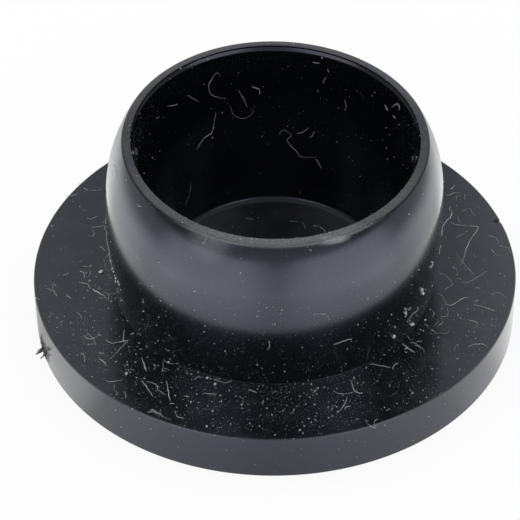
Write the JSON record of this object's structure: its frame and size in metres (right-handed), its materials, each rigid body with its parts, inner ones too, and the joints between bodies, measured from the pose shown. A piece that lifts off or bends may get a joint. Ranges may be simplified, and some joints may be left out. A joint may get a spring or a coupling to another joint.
{
  "type": "protective cap",
  "caption": "Round flanged plug cap with a hollow barrel-shaped collar that presses into a tube end or port.",
  "frame": {"origin": "middle of the flange's flat underside, on the cap's axis", "axes": "+Z along the axis, from the underside towards the open mouth; the torn gate lies at 195.4 degrees about +Z from +X"},
  "size_m": [0.04, 0.04, 0.0192],
  "materials": {
    "cap_plastic": "black moulded polyethylene, satin, dusty"
  },
  "bodies": {
    "root": {"cap_body": "cap_plastic"}
  },
  "joints": []
}
